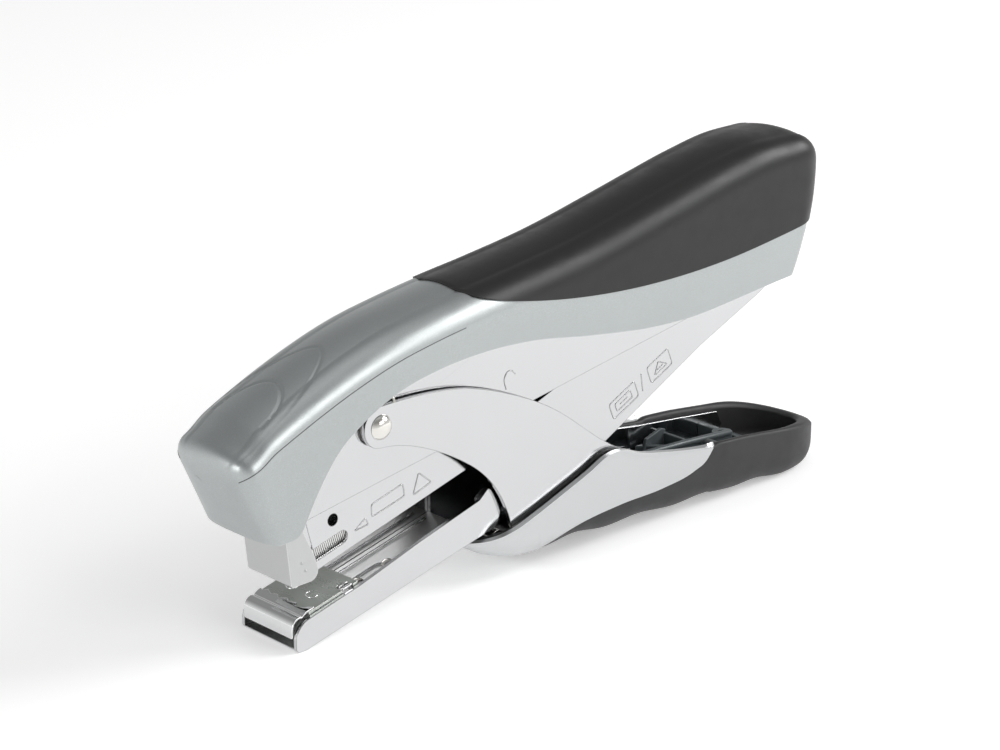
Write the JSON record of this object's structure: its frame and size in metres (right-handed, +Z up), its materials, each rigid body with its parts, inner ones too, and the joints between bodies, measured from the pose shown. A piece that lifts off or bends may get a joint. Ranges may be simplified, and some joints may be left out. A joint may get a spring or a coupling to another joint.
{
  "type": "plier stapler",
  "caption": "Hand-held plier stapler: squeezing the rubber-gripped handles swings a steel anvil arm up to a sprung magazine and drives a staple through paper.",
  "frame": {"origin": "on the surface the tool stands on, under the middle of its overall length and width", "axes": "+X towards the rear of the handles, +Y across the tool, +Z up"},
  "size_m": [0.194, 0.0274, 0.0889],
  "materials": {
    "silver_cover": "satin silver-grey metallic lacquer",
    "silver_shell": "satin light silver metallic lacquer",
    "black_grip": "satin black soft-touch rubber",
    "grey_grip": "matte dark grey soft-touch rubber",
    "frame_nickel": "bright nickel-plated sheet steel",
    "link_nickel": "bright nickel-plated sheet steel",
    "arm_nickel": "bright nickel-plated sheet steel",
    "magazine_nickel": "bright nickel-plated sheet steel",
    "rivet_nickel": "polished nickel",
    "rail_chrome": "polished",
    "anvil_steel": "ground hardened steel",
    "driver_steel": "ground hardened steel",
    "pin_steel": "plain steel",
    "spring_wire": "oiled spring steel",
    "staple_wire": "galvanised wire",
    "nose_plastic": "satin light grey moulded plastic",
    "holder_plastic": "moulded plastic",
    "washer_nylon": "moulded nylon",
    "core_plastic": "dark moulded plastic",
    "pusher_plastic": "moulded plastic"
  },
  "bodies": {
    "upper_body": {"upper_cover": "silver_cover", "upper_grip": "black_grip", "upper_frame": "frame_nickel", "cover_pins": "pin_steel", "driver_blade": "driver_steel", "driver_holder": "holder_plastic", "holder_pin": "pin_steel", "pivot_rivet": "rivet_nickel", "rivet_washers": "washer_nylon", "rear_pivot_pin": "rivet_nickel", "return_spring": "spring_wire", "magazine_spring": "spring_wire"},
    "lower_handle": {"near_link_plate": "link_nickel", "far_link_plate": "link_nickel", "lower_shell": "silver_shell", "lower_grip": "grey_grip", "handle_core": "core_plastic", "handle_pins": "pin_steel", "lift_bar": "pin_steel", "lift_bar_pin": "pin_steel"},
    "anvil": {"anvil_arm": "arm_nickel", "anvil_plate": "anvil_steel", "anvil_rivets": "rivet_nickel"},
    "magazine": {"magazine_channel": "magazine_nickel", "nose_guard": "nose_plastic", "staple_rail": "rail_chrome", "staple_strip": "staple_wire", "guide_rod": "pin_steel", "rod_stop": "magazine_nickel", "spring_seat": "magazine_nickel", "pusher_spring": "spring_wire"},
    "pusher": {"staple_pusher": "pusher_plastic"}
  },
  "joints": [
    {"name": "handle_squeeze", "type": "hinge", "parent": "upper_body", "child": "lower_handle", "pos_m": [-0.0579, 0, 0.0467], "axis": [0, -1, 0], "range_deg": [0, 12], "stiffness_Nm_per_rad": 1, "springref_deg": -45.84},
    {"name": "anvil_lift", "type": "hinge", "parent": "upper_body", "child": "anvil", "pos_m": [0.071, 0, 0.0585], "axis": [0, 1, 0], "range_deg": [0, 4.42]},
    {"name": "magazine_lift", "type": "hinge", "parent": "upper_body", "child": "magazine", "pos_m": [0.071, 0, 0.0585], "axis": [0, 1, 0], "range_deg": [0, 2.32], "deforming": ["magazine_spring"]},
    {"name": "pusher_slide", "type": "slide", "parent": "magazine", "child": "pusher", "axis": [0.9664, 0, 0.2571], "range_m": [0, 0.013], "stiffness_N_per_m": 150, "springref_m": -0.02, "deforming": ["pusher_spring"]}
  ],
  "couplings": [
    {"joint": "anvil_lift", "follows": "handle_squeeze", "ratio": 0.3666},
    {"joint": "magazine_lift", "follows": "handle_squeeze", "ratio": 0.1916}
  ]
}
